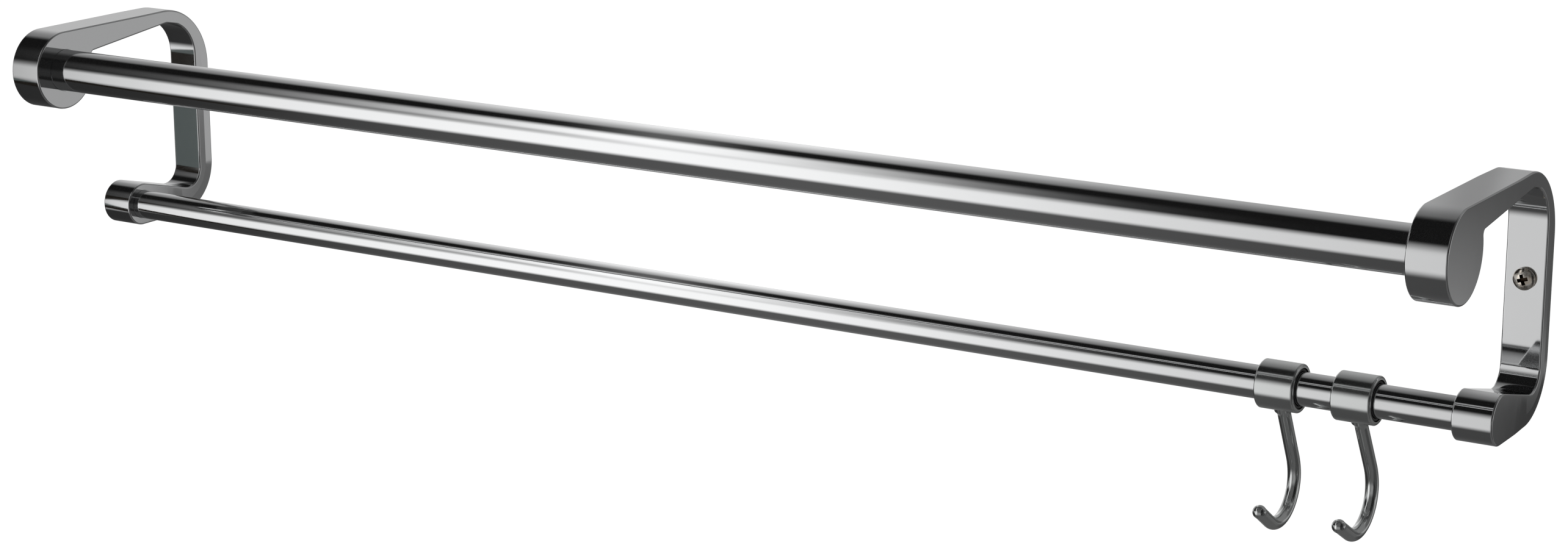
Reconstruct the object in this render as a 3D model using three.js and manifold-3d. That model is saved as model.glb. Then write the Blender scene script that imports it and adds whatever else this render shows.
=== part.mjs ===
// Double towel bar with two sliding hooks, in millimetres: +X along the bars, +Y into the wall, +Z up.
// The origin lies on the wall, halfway between the brackets, at the height of the thick bar's axis.
import * as THREE from "three";
import { mergeVertices } from "three/addons/utils/BufferGeometryUtils.js";
import Module from "manifold-3d";

// Overall layout
const overallWidth = 600;
const upperBarReach = 84; // wall to the thick bar's axis
const lowerBarReach = 43.5; // wall to the thin bar's axis
const barDrop = 62.8; // thick bar's axis down to the thin bar's

// Bars
const upperBarDiameter = 16.5;
const lowerBarDiameter = 11.5;
const barWall = 1;
const barEndChamfer = 0.4;

// Brackets
const bracketWidth = 14;
const upperBossRadius = 15.6;
const lowerBossRadius = 8.6;
const plateThickness = 8.3; // wall part, wall side to front face
const outerBendRadius = 25.5; // top corner, outside
const innerBendRadius = 16; // top corner, inside
const lowerBendRadius = 20; // bottom corner, outside
const lowerFilletRadius = 7.2; // bottom corner, inside
const armRootDepth = 10.2; // arm depth behind the big boss
const armTipDepth = 5.3; // arm depth over the inner bend
const armRootFillet = 1.5; // between the big boss and the arm's underside
const lowerWebDepth = 10.4; // depth of the lower web over the bottom fillet
const edgeRound = 0.6; // softened edge round both side faces
const draftBand = 4.6; // width of the drafted band along the wall side
const draftDepth = 0.45; // how far that band draws in at its rim
const draftRunout = 9; // how far the band's outline runs clear of the bosses
const draftUpperEnd = 51; // distance from the wall at which it does so, over the arm
const draftLowerEnd = 37; // and under the lower web
const socketDepth = 10; // blind bores for the bar ends

// Screws
const setScrewRadius = 2;
const setScrewSocketFlats = 2;
const setScrewSocketDepth = 1.3;
const setScrewSink = 0.4; // below the boss's surface
const setScrewChamfer = 0.35;
const wallScrewDrop = 24; // thick bar's axis down to the wall screw
const wallScrewShankRadius = 2;
const wallScrewLength = 22; // under the head
const wallScrewHeadRadius = 3.8;
const wallScrewHeadHeight = 2.5;
const wallScrewHeadRim = 0.9; // straight part of the head's side
const wallScrewTipLength = 4;
const crossRecessLength = 4.4;
const crossRecessWidth = 1;
const crossRecessDepth = 1.5;
const crossRecessTaperShare = 0.55;

// Hooks
const hookInsets = { a: 62.3, b: 35 }; // right bracket's inner face to the middle of the ring
const hookSwings = { a: 0, b: THREE.MathUtils.degToRad(3.5) }; // at rest, towards the wall
const hookRingDiameter = 16.8;
const hookRingLength = 14;
const hookRingRound = 0.7;
const hookRodDiameter = 4.6;
const hookStemLean = THREE.MathUtils.degToRad(26.5); // towards the wall on its way down
const hookStemOffset = 2.6; // the stem's line passes the bar's axis this far to the front
const hookStemLength = 31; // down to the first bend
const hookBackBendRadius = 18.5;
const hookBackBendTurn = THREE.MathUtils.degToRad(19);
const hookBottomBendRadius = 12.7;
const hookBottomBendTurn = THREE.MathUtils.degToRad(131.5);
const hookEndLength = 10; // straight end, from the bottom bend to the tip
const hookTipRadius = 2.4;
const hookFootFlare = 0.8; // the soldered foot of the stem is this much wider where it meets the ring
const hookFootHeight = 2; // and tapers down to the rod over this length

// Plastic liners in the hook rings
const linerWall = 0.8;
const linerInset = 0.3; // ends below the ring's ends

// Clearances
const fitGap = 0.3; // between pieces that are seated on each other
const runningGap = 0.25; // round the liners
const overrun = 1; // how far a cut runs past the surface it opens
const weldDistance = 1e-4; // points closer than this are one point

// Facets
const facetAngle = THREE.MathUtils.degToRad(9);
const barFacets = 48;
const ringFacets = 40;
const smallFacets = 24;
const hexSides = 6;
const boltFacets = 16;
const edgeSegments = 2;
const rodFacets = 16;
const rodSteps = 40;
const ringRoundSteps = 3;
const footSteps = 4;

const quarter = Math.PI / 2;
const upperBarRadius = upperBarDiameter / 2;
const lowerBarRadius = lowerBarDiameter / 2;
const hookRingRadius = hookRingDiameter / 2;
const hookRodRadius = hookRodDiameter / 2;
const bracketOffset = (overallWidth - bracketWidth) / 2; // middle plane of a bracket from the origin
const innerFace = overallWidth / 2 - bracketWidth;
const barHalfLength = innerFace + socketDepth - fitGap;
const bossTop = upperBossRadius;
const bracketBottom = -barDrop - lowerBossRadius;
const upperBossCentre = new THREE.Vector2(-upperBarReach, 0);
const lowerBossCentre = new THREE.Vector2(-lowerBarReach, -barDrop);
const linerBore = lowerBarRadius + runningGap;
const linerRadius = linerBore + linerWall;
const hookBore = linerRadius + runningGap;

const chrome = { roughness: 0.08, metalness: 1 };
const materials = {
  casting: new THREE.MeshStandardMaterial({ color: 0xc9cbcc, ...chrome }),
  tube: new THREE.MeshStandardMaterial({ color: 0xd2d4d5, ...chrome }),
  hook: new THREE.MeshStandardMaterial({ color: 0xc4c7c8, ...chrome }),
  steel: new THREE.MeshStandardMaterial({ color: 0xb9ad9c, roughness: 0.3, metalness: 1 }),
  plastic: new THREE.MeshStandardMaterial({ color: 0x17181a, roughness: 0.55, metalness: 0 }),
};

const wasm = await Module();
wasm.setup();

// A closed mesh, turned into a solid for cutting and joining.
function solid(geometry) {
  const bare = geometry.clone();
  bare.deleteAttribute("normal");
  bare.deleteAttribute("uv");
  const merged = mergeVertices(bare, weldDistance);
  return new wasm.Manifold(
    new wasm.Mesh({
      numProp: 3,
      vertProperties: merged.attributes.position.array,
      triVerts: new Uint32Array(merged.index.array),
    }),
  );
}

function geometryOf(made) {
  const mesh = made.getMesh();
  const geometry = new THREE.BufferGeometry();
  geometry.setAttribute("position", new THREE.BufferAttribute(mesh.vertProperties, 3));
  geometry.setIndex(new THREE.BufferAttribute(mesh.triVerts, 1));
  const faceted = geometry.toNonIndexed();
  faceted.computeVertexNormals();
  return faceted;
}

// Points on an arc round a centre, from one angle to another, both included.
function arc(centre, radius, from, to, wanted) {
  const steps = wanted ?? Math.max(2, Math.round(Math.abs(to - from) / facetAngle));
  return Array.from({ length: steps + 1 }, (_, i) => {
    const angle = from + ((to - from) * i) / steps;
    return new THREE.Vector2(
      centre.x + radius * Math.cos(angle),
      centre.y + radius * Math.sin(angle),
    );
  });
}

function withoutDoubles(points) {
  return points.filter((p, i) => p.distanceTo(points.at(i - 1)) > weldDistance);
}

// A solid whose side view is an outline in (y, z), centred on its middle plane and carried along X.
function sideways(outline, width, bevel) {
  const depth = width - 2 * bevel.bevelThickness;
  const geometry = new THREE.ExtrudeGeometry(new THREE.Shape(withoutDoubles(outline)), {
    depth,
    bevelEnabled: true,
    bevelOffset: -bevel.bevelSize,
    ...bevel,
  });
  geometry.translate(0, 0, -depth / 2);
  geometry.applyMatrix4(
    new THREE.Matrix4().makeBasis(
      new THREE.Vector3(0, 1, 0),
      new THREE.Vector3(0, 0, 1),
      new THREE.Vector3(1, 0, 0),
    ),
  );
  return solid(geometry);
}

// A rod along X, Y or Z between two places on that axis.
function rod(axis, radius, from, to, facets = smallFacets) {
  const geometry = new THREE.CylinderGeometry(radius, radius, to - from, facets);
  geometry.translate(0, (from + to) / 2, 0);
  if (axis === "x") geometry.rotateZ(-quarter);
  if (axis === "z") geometry.rotateX(quarter);
  return solid(geometry);
}

// The bracket's side view: bosses, arm, wall part and lower web, drawn anticlockwise.
function bracketOutline() {
  const plateFront = -plateThickness;

  // The arm's underside is a straight line that gets closer to the top on its way back.
  const rootY = upperBossCentre.x + upperBossRadius;
  const bendY = plateFront - innerBendRadius;
  const slope = (armRootDepth - armTipDepth) / (bendY - rootY);
  const underside = (y) => bossTop - armRootDepth + slope * (y - rootY);
  const stretch = Math.hypot(1, slope);
  const undersideUp = Math.atan2(1, -slope);
  const innerBendCentre = new THREE.Vector2(bendY, underside(bendY) - innerBendRadius * stretch);

  // A small fillet touches the big boss and the underside.
  const offset = underside(0) - armRootFillet * stretch;
  const a = 1 + slope * slope;
  const b = 2 * (slope * offset - upperBossCentre.x);
  const c = upperBossCentre.x ** 2 + offset ** 2 - (upperBossRadius + armRootFillet) ** 2;
  const filletY = (-b + Math.sqrt(b * b - 4 * a * c)) / (2 * a);
  const filletCentre = new THREE.Vector2(filletY, offset + slope * filletY);
  const toFillet = filletCentre.clone().sub(upperBossCentre).angle();

  // The lower web's top runs from the bottom fillet up to the small boss, which it touches.
  const webEnd = new THREE.Vector2(plateFront - lowerFilletRadius, bracketBottom + lowerWebDepth);
  const toWeb = webEnd.clone().sub(lowerBossCentre);
  const webUp = Math.atan2(toWeb.y, toWeb.x) + Math.acos(lowerBossRadius / toWeb.length());
  const lowerFilletCentre = new THREE.Vector2(
    webEnd.x,
    webEnd.y + lowerFilletRadius / Math.sin(webUp),
  );

  const lowerBendCentre = new THREE.Vector2(-lowerBendRadius, bracketBottom + lowerBendRadius);
  const outerBendCentre = new THREE.Vector2(-outerBendRadius, bossTop - outerBendRadius);
  return [
    ...arc(upperBossCentre, upperBossRadius, quarter, 2 * Math.PI + toFillet),
    ...arc(filletCentre, armRootFillet, Math.PI + toFillet, undersideUp),
    ...arc(innerBendCentre, innerBendRadius, undersideUp, 0),
    ...arc(lowerFilletCentre, lowerFilletRadius, 0, webUp - Math.PI),
    ...arc(lowerBossCentre, lowerBossRadius, webUp, 3 * quarter),
    ...arc(lowerBendCentre, lowerBendRadius, -quarter, 0),
    ...arc(outerBendCentre, outerBendRadius, 0, quarter),
  ];
}

// Outline that follows the wall side and runs clear of the bosses, for the drafted band.
function draftOutline() {
  const lowerBendCentre = new THREE.Vector2(-lowerBendRadius, bracketBottom + lowerBendRadius);
  const outerBendCentre = new THREE.Vector2(-outerBendRadius, bossTop - outerBendRadius);
  const front = -upperBarReach - upperBossRadius - draftRunout;
  const top = bossTop + draftRunout;
  const bottom = bracketBottom - draftRunout;
  return [
    new THREE.Vector2(front, bottom),
    new THREE.Vector2(-draftLowerEnd, bottom),
    ...arc(lowerBendCentre, lowerBendRadius, -quarter, 0),
    ...arc(outerBendCentre, outerBendRadius, 0, quarter),
    new THREE.Vector2(-draftUpperEnd, top),
    new THREE.Vector2(front, top),
  ];
}

// The right bracket, on its own middle plane.
function bracket() {
  const body = sideways(bracketOutline(), bracketWidth, {
    bevelThickness: edgeRound,
    bevelSize: edgeRound,
    bevelSegments: edgeSegments,
  });
  const drafted = sideways(draftOutline(), bracketWidth, {
    bevelThickness: draftDepth,
    bevelSize: draftBand,
    bevelSegments: 1,
  });
  const inner = -bracketWidth / 2;
  const socket = (barRadius) =>
    rod("x", barRadius + fitGap, inner - overrun, inner + socketDepth, barFacets);
  const upperSocket = socket(upperBarRadius).translate([0, upperBossCentre.x, upperBossCentre.y]);
  const lowerSocket = socket(lowerBarRadius).translate([0, lowerBossCentre.x, lowerBossCentre.y]);
  const setScrewPlace = inner + socketDepth / 2;
  const setScrewHole = (bossCentre, bossRadius) =>
    rod("z", setScrewRadius + fitGap, -bossRadius - overrun, 0, boltFacets).translate([
      setScrewPlace,
      bossCentre.x,
      bossCentre.y,
    ]);
  const wallScrewHole = rod(
    "y",
    wallScrewShankRadius + fitGap,
    -plateThickness - overrun,
    overrun,
  ).translate([0, 0, -wallScrewDrop]);
  return body
    .intersect(drafted)
    .subtract(upperSocket)
    .subtract(lowerSocket)
    .subtract(setScrewHole(upperBossCentre, upperBossRadius))
    .subtract(setScrewHole(lowerBossCentre, lowerBossRadius))
    .subtract(wallScrewHole);
}

// A body of revolution along X from a section in (radius, x) that stays off the axis.
function ringOf(section, facets) {
  const geometry = new THREE.LatheGeometry([...section, section[0]], facets);
  geometry.rotateZ(-quarter);
  return geometry;
}

// An open tube along X.
function tube(radius, halfLength) {
  const inside = radius - barWall;
  const section = [
    [inside, -halfLength],
    [radius - barEndChamfer, -halfLength],
    [radius, -halfLength + barEndChamfer],
    [radius, halfLength - barEndChamfer],
    [radius - barEndChamfer, halfLength],
    [inside, halfLength],
  ];
  return ringOf(section.map(([r, along]) => new THREE.Vector2(r, along)), barFacets);
}

// A grub screw, upright, with its driving end down at zero.
function setScrew(length) {
  const profile = [
    [0, 0],
    [setScrewRadius - setScrewChamfer, 0],
    [setScrewRadius, setScrewChamfer],
    [setScrewRadius, length - setScrewChamfer],
    [setScrewRadius - setScrewChamfer, length],
    [0, length],
  ].map(([r, up]) => new THREE.Vector2(r, up));
  const body = new THREE.LatheGeometry(profile, boltFacets);
  body.rotateX(quarter);
  const socketRadius = setScrewSocketFlats / Math.sqrt(3);
  const key = rod("z", socketRadius, -overrun, setScrewSocketDepth, hexSides);
  return geometryOf(solid(body).subtract(key));
}

// A pan head screw along Y, with the underside of its head at zero and its point towards the wall.
function wallScrew() {
  const dome = arc(new THREE.Vector2(), 1, -quarter, 0).map(({ x, y }, i) => [
    i ? wallScrewHeadRadius * x : 0,
    (wallScrewHeadHeight - wallScrewHeadRim) * y - wallScrewHeadRim,
  ]);
  const profile = [
    ...dome,
    [wallScrewHeadRadius, 0],
    [wallScrewShankRadius, 0],
    [wallScrewShankRadius, wallScrewLength - wallScrewTipLength],
    [0, wallScrewLength],
  ].map(([r, along]) => new THREE.Vector2(r, along));
  const body = solid(new THREE.LatheGeometry(profile, smallFacets));
  const slots = [0, quarter].map((turn) => {
    const blade = new THREE.CylinderGeometry(
      (crossRecessLength * crossRecessTaperShare) / 2,
      crossRecessLength / 2,
      crossRecessDepth + overrun,
      smallFacets,
    );
    blade.scale(1, 1, crossRecessWidth / crossRecessLength);
    blade.rotateY(turn);
    blade.translate(0, (crossRecessDepth - overrun) / 2 - wallScrewHeadHeight, 0);
    return solid(blade);
  });
  return geometryOf(body.subtract(slots[0]).subtract(slots[1]));
}

// The hook's rod in its own side plane: straight stem, wide bend, tight bend and a straight end.
class HookPath extends THREE.Curve {
  getPoint(share, target = new THREE.Vector3()) {
    const bends = [
      [hookBackBendRadius, hookBackBendTurn],
      [hookBottomBendRadius, hookBottomBendTurn],
    ];
    const straight = hookStemLength + hookEndLength;
    const whole = bends.reduce((sum, [radius, turn]) => sum + radius * turn, straight);
    const run = Math.min(share * whole, hookStemLength);
    let left = share * whole - run;
    let heading = -quarter + hookStemLean;
    let y = -hookStemOffset + run * Math.cos(heading);
    let z = run * Math.sin(heading);
    for (const [radius, turn] of bends) {
      const turned = heading - Math.min(left / radius, turn);
      y += radius * (Math.sin(heading) - Math.sin(turned));
      z += radius * (Math.cos(turned) - Math.cos(heading));
      left -= radius * (heading - turned);
      heading = turned;
    }
    return target.set(0, y + left * Math.cos(heading), z + left * Math.sin(heading));
  }
}

// The soldered foot of the stem: a collar about the stem's line that tapers from the ring to the rod.
function hookFoot() {
  const aside = hookStemOffset * Math.cos(hookStemLean);
  const nearest = hookStemOffset * Math.sin(hookStemLean);
  const surface = nearest + Math.sqrt(hookRingRadius ** 2 - aside ** 2);
  const profile = [[0, nearest], [hookRodRadius + hookFootFlare, nearest]];
  for (let i = 0; i < footSteps; i++) {
    const share = i / footSteps;
    profile.push([
      hookRodRadius + hookFootFlare * (1 - share) ** 2,
      surface + hookFootHeight * share,
    ]);
  }
  profile.push([0, surface + hookFootHeight]);
  const points = profile.map(([r, along]) => new THREE.Vector2(r, along));
  const geometry = new THREE.LatheGeometry(points, rodFacets);
  geometry.rotateX(hookStemLean - quarter);
  geometry.translate(0, -hookStemOffset, 0);
  return solid(geometry);
}

// One hook about the bar's axis: ring, rod, foot and round tip in one piece.
function hook() {
  const half = hookRingLength / 2;
  const round = (along, from, to) =>
    arc(
      new THREE.Vector2(hookRingRadius - hookRingRound, along),
      hookRingRound,
      from,
      to,
      ringRoundSteps,
    );
  const section = [
    new THREE.Vector2(hookBore, -half),
    ...round(-half + hookRingRound, -quarter, 0),
    ...round(half - hookRingRound, 0, quarter),
    new THREE.Vector2(hookBore, half),
  ];
  const path = new HookPath();
  const disc = new THREE.Shape().absarc(0, 0, hookRodRadius, 0, 2 * Math.PI);
  const rodGeometry = new THREE.ExtrudeGeometry(disc, {
    steps: rodSteps,
    curveSegments: rodFacets / 2,
    extrudePath: path,
  });
  const ball = new THREE.SphereGeometry(hookTipRadius, rodFacets, rodFacets / 2);
  ball.translate(...path.getPoint(1).toArray());
  const bore = rod("x", hookBore, -hookRingLength, hookRingLength, ringFacets);
  return geometryOf(
    solid(rodGeometry)
      .add(hookFoot())
      .add(solid(ball))
      .add(solid(ringOf(section, ringFacets)))
      .subtract(bore),
  );
}

// A plastic sleeve along X.
function liner() {
  const half = hookRingLength / 2 - linerInset;
  const section = [
    [linerBore, -half],
    [linerRadius, -half],
    [linerRadius, half],
    [linerBore, half],
  ];
  return ringOf(section.map(([r, along]) => new THREE.Vector2(r, along)), ringFacets);
}

function piece(name, geometry, material, x, y, z) {
  const mesh = new THREE.Mesh(geometry, material);
  mesh.name = name;
  mesh.position.set(x, y, z);
  return mesh;
}

const towelBar = new THREE.Group();

const bracketGeometry = geometryOf(bracket());
const wallScrewGeometry = wallScrew();
const setScrewLength = {
  upper: upperBossRadius - upperBarRadius - setScrewSink - fitGap,
  lower: lowerBossRadius - lowerBarRadius - setScrewSink - fitGap,
};
for (const [side, sign] of [["left", -1], ["right", 1]]) {
  const middle = sign * bracketOffset;
  const casting = piece(`${side}_bracket`, bracketGeometry, materials.casting, middle, 0, 0);
  casting.scale.x = sign;
  const screw = piece(
    `wall_screw_${side}`,
    wallScrewGeometry,
    materials.steel,
    middle,
    -plateThickness - fitGap,
    -wallScrewDrop,
  );
  towelBar.add(casting, screw);
  const setScrewPlace = sign * (innerFace + socketDepth / 2);
  for (const [level, boss, radius] of [
    ["upper", upperBossCentre, upperBossRadius],
    ["lower", lowerBossCentre, lowerBossRadius],
  ]) {
    towelBar.add(
      piece(
        `set_screw_${level}_${side}`,
        setScrew(setScrewLength[level]),
        materials.steel,
        setScrewPlace,
        boss.x,
        boss.y - radius + setScrewSink,
      ),
    );
  }
}

towelBar.add(
  piece("upper_bar", tube(upperBarRadius, barHalfLength), materials.tube, 0, -upperBarReach, 0),
  piece("lower_bar", tube(lowerBarRadius, barHalfLength), materials.tube, 0, -lowerBarReach, -barDrop),
);

const hookGeometry = hook();
const linerGeometry = liner();
for (const [letter, inset] of Object.entries(hookInsets)) {
  const centre = innerFace - inset;
  const turning = [
    piece(`hook_${letter}`, hookGeometry, materials.hook, centre, -lowerBarReach, -barDrop),
    piece(`hook_liner_${letter}`, linerGeometry, materials.plastic, centre, -lowerBarReach, -barDrop),
  ];
  for (const mesh of turning) mesh.rotation.x = hookSwings[letter];
  towelBar.add(...turning);
}

export default towelBar;
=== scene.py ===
"""Double towel bar with two sliding hooks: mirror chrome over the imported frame, in a plain pale studio."""

import math

import bmesh
import bpy
import numpy as np
from mathutils import Matrix, Vector
from mathutils.geometry import delaunay_2d_cdt


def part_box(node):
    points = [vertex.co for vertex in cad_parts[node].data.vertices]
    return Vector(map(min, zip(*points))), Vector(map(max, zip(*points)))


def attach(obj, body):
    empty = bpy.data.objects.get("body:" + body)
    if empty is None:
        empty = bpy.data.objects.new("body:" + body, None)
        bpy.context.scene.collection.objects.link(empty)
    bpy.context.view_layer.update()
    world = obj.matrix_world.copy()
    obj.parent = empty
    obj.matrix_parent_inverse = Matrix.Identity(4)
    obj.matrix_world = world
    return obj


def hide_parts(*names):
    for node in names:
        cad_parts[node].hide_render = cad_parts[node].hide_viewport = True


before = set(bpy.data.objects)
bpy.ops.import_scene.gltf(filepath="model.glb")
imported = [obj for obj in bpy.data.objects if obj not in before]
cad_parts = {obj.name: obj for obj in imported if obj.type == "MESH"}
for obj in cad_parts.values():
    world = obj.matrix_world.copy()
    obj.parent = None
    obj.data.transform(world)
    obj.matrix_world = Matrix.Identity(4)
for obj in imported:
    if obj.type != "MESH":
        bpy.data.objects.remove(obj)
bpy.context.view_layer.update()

MM = 0.001  # shapes are drawn in millimetres and stored in metres
QUARTER = math.pi / 2
FULL_TURN = 2 * math.pi

# Layout of the bars, as in the frame
UPPER_AXIS = (-84.0, 0.0)  # y, z of the thick bar
LOWER_AXIS = (-43.5, -62.8)  # y, z of the thin bar
BRACKET_OFFSET = 293.0  # middle plane of a bracket from the origin

# Brackets
BRACKET_WIDTH = 14.0
UPPER_BOSS_RADIUS = 15.6
LOWER_BOSS_RADIUS = 8.6
BRACKET_TOP = UPPER_AXIS[1] + UPPER_BOSS_RADIUS
BRACKET_BOTTOM = LOWER_AXIS[1] - LOWER_BOSS_RADIUS
PLATE_THICKNESS = 8.3
OUTER_BEND_RADIUS = 25.5
INNER_BEND_RADIUS = 16.0
LOWER_BEND_RADIUS = 20.0
LOWER_FILLET_RADIUS = 7.2
ARM_ROOT_DEPTH = 10.2
ARM_TIP_DEPTH = 5.3
ARM_ROOT_FILLET = 1.5
LOWER_WEB_DEPTH = 10.4
EDGE_ROUND = 0.6
FLAT_MARGIN = 0.06  # a flat ring that keeps the rim's shading out of the side faces
DRAFT_BAND = 4.6  # the side faces draw in over this width along the wall side
DRAFT_DEPTH = 0.45
DRAFT_RUNOUT = 9.0
DRAFT_UPPER_END = 51.0
DRAFT_LOWER_END = 37.0
SOCKET_DEPTH = 10.0
SOCKET_CHAMFER = 0.15
SOCKET_GAP = 0.06  # a bar fills its socket, but for a hairline
FIT_GAP = 0.3
OVERRUN = 1.0  # how far a cutting tool stands out of what it cuts

# Bars
UPPER_BAR_RADIUS = 8.25
LOWER_BAR_RADIUS = 5.75
BAR_WALL = 1.0
BAR_CHAMFER = 0.4
BAR_HALF_LENGTH = BRACKET_OFFSET - BRACKET_WIDTH / 2 + SOCKET_DEPTH - FIT_GAP

# Hooks
HOOK_BORE = 7.05
HOOK_BORE_REACH = 20.0
HOOK_RING_RADIUS = 8.4
HOOK_RING_HALF = 7.0
HOOK_RING_ROUND = 0.7
HOOK_ROD_RADIUS = 2.3
HOOK_STEM_LEAN = math.radians(26.5)
HOOK_STEM_OFFSET = 2.6
HOOK_STEM_START = 7.2  # along the stem's line, inside the ring's wall
HOOK_STEM_LENGTH = 31.0
HOOK_BENDS = ((18.5, math.radians(19)), (12.7, math.radians(131.5)))  # radius and turn, back then bottom
HOOK_END_LENGTH = 10.0
HOOK_TIP_RADIUS = 2.4
HOOK_FOOT_FLARE = 0.8  # the soldered foot of the stem is this much wider where it meets the ring
HOOK_FOOT_HEIGHT = 2.0  # and tapers down to the rod over this length
HOOK_SWING = {"a": 0.0, "b": math.radians(3.5)}
LINER_WALL = 0.8
LINER_INSET = 0.3
LINER_CHAMFER = 0.15
RUNNING_GAP = 0.25

# Screws
WALL_SCREW_DROP = 24.0
WALL_SCREW_SHANK = 2.0
WALL_SCREW_LENGTH = 22.0
WALL_SCREW_HEAD = 3.8
WALL_SCREW_HEAD_HEIGHT = 2.5
WALL_SCREW_RIM = 0.9
WALL_SCREW_CHAMFER = 0.15
WALL_SCREW_TIP = 4.0
WALL_THREAD_PITCH = 1.6
WALL_THREAD_DEPTH = 0.55
CROSS_TURN = 0.3
CROSS_DEPTH = 1.8
CROSS_LENGTH = 4.6
CROSS_WIDTH = 1.5
CROSS_FLOOR_LENGTH_SHARE = 0.55
CROSS_FLOOR_WIDTH_SHARE = 0.6
SET_SCREW_RADIUS = 2.0
SET_SCREW_FLATS = 2.0
SET_SCREW_SOCKET = 1.3
SET_SCREW_SINK = 0.4
SET_SCREW_CHAMFER = 0.35
SET_THREAD_PITCH = 0.7
SET_THREAD_DEPTH = 0.3

# Fineness of the meshes
ARC_STEP = math.radians(2)
STRAIGHT_STEP = 3.0
EDGE_STEPS = 6
BAR_FACETS = 192
RING_FACETS = 128
SCREW_FACETS = 64
ROD_FACETS = 48
TIP_RINGS = 24
STEM_STEPS = 24
HOOK_END_STEPS = 12
DOME_STEPS = 12
THREAD_STEPS = 40  # to the turn
THREAD_CORNERS = 4
KEY_SIDES = 6
SHARP_EDGE = math.radians(24)
SAME_POINT = 1e-4
SAME_PLANE = 1e-3
ON_CREASE = 0.02
CLOSE_SEAM = 2e-6  # metres

# Camera, fitted to both brackets and both bars
CAMERA_PLACE = (0.64359, -1.02592, 0.24229)
CAMERA_DOWN = 14.263
CAMERA_TURN = 32.108
CAMERA_LENS = 75.436
CAMERA_SENSOR = 36

# Studio
FLOOR_HALF_SIZE = 14000.0
FLOOR_DROP = 1100.0
FLAG_PLACE = (-592, -333, -150)
FLAG_FACING = (0.68, 0.733, 0)
FLAG_WIDTH = 40
FLAG_HEIGHT = 560
FLAG_GREY_PART = (-0.178, -0.1)  # heights in metres


# Node trees


class Wire:
    """A number on its way through a node tree. Arithmetic on it adds the Math nodes."""

    def __init__(self, sheet, socket):
        self.sheet = sheet
        self.socket = socket

    def math(self, operation, *values):
        sockets = dict(enumerate((self, *values)))
        return self.sheet.add("ShaderNodeMath", {"operation": operation}, sockets)

    def __add__(self, other):
        return self.math("ADD", other)

    __radd__ = __add__

    def __mul__(self, other):
        return self.math("MULTIPLY", other)

    __rmul__ = __mul__

    def __sub__(self, other):
        return self.math("SUBTRACT", other)

    def __rsub__(self, other):
        return self * -1 + other

    def __truediv__(self, other):
        return self.math("DIVIDE", other)

    def __rtruediv__(self, other):
        return self.math("POWER", -1) * other

    def __neg__(self):
        return self * -1

    def rise(self, at, soft):
        """0 below a threshold and 1 above it, with a soft step."""
        settings = {"interpolation_type": "SMOOTHSTEP"}
        low, high = at - soft, at + soft
        sockets = {"Value": self, "From Min": low, "From Max": high, "To Min": 0.0, "To Max": 1.0}
        return self.sheet.add("ShaderNodeMapRange", settings, sockets)

    def between(self, low, high, soft):
        """1 between two thresholds and 0 outside them, with soft steps."""
        return self.rise(low, soft) * (1 - self.rise(high, soft))

    def hump(self, at, width):
        """1 at a place, fading evenly to both sides."""
        away = (self - at) * (1 / width)
        return (away * away * -1).math("EXPONENT")

    def lerp(self, first, second):
        """A number that goes from the first to the second while this one goes from 0 to 1."""
        return self * (second - first) + first

    def blend(self, first, second):
        """A colour that goes from the first to the second while this number goes from 0 to 1."""
        settings = {"data_type": "RGBA"}
        factor, colour_a, colour_b, colour = 0, 6, 7, 2  # places among the Mix node's sockets
        sockets = {factor: self, colour_a: first, colour_b: second}
        return self.sheet.add("ShaderNodeMix", settings, sockets, output=colour)


class Sheet:
    """One node tree, and the ways to add to it."""

    def __init__(self, tree):
        self.tree = tree
        tree.nodes.clear()

    def add(self, kind, settings=None, sockets=None, output=0):
        """Adds a node: its settings first, then the values or links of its sockets."""
        node = self.tree.nodes.new(kind)
        for name, value in (settings or {}).items():
            setattr(node, name, value)
        for name, values in (sockets or {}).items():
            for value in values if isinstance(values, list) else [values]:
                if isinstance(value, Wire):
                    self.tree.links.new(value.socket, node.inputs[name])
                else:
                    node.inputs[name].default_value = value
        return Wire(self, node.outputs[output]) if node.outputs else node

    def outputs(self, kind, sockets=None):
        """Adds a node and gives all its outputs by name."""
        node = self.add(kind, None, sockets).socket.node
        return {socket.name: Wire(self, socket) for socket in node.outputs}

    def split(self, vector):
        return list(self.outputs("ShaderNodeSeparateXYZ", {0: vector}).values())


def rgba(red, green, blue):
    return (red, green, blue, 1.0)


def grey(level):
    return rgba(level, level, level)


# Meshes


def arc(centre, radius, start, end, side=1):
    """Points and outward normals on an arc; side is -1 where the material lies outside it."""
    steps = max(2, math.ceil(abs(end - start) / ARC_STEP))
    made = []
    for i in range(steps + 1):
        angle = start + (end - start) * i / steps
        away = Vector((math.cos(angle), math.sin(angle)))
        made.append((Vector(centre) + away * radius, away * side))
    return made


def circle(centre, radius):
    """Points of a full circle, each given once."""
    return [tuple(point) for point, _ in arc(centre, radius, 0, FULL_TURN)[:-1]]


def band(low, high):
    """Faces between two rings of points. A ring of one point is a pole."""
    count = max(len(low), len(high))
    faces = []
    for k in range(count):
        n = (k + 1) % count
        corners = low[k % len(low)], low[n % len(low)], high[n % len(high)], high[k % len(high)]
        faces.append(tuple(dict.fromkeys(corners)))
    return faces


def bands(rings):
    return [face for low, high in zip(rings, rings[1:]) for face in band(low, high)]


def linked(name, data):
    """A new object in the scene."""
    made = bpy.data.objects.new(name, data)
    bpy.context.scene.collection.objects.link(made)
    return made


def mesh_object(name, verts, faces):
    mesh = bpy.data.meshes.new(name)
    mesh.from_pydata([tuple(c * MM for c in v) for v in verts], [], faces)
    mesh.validate()
    return linked(name, mesh)


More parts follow.
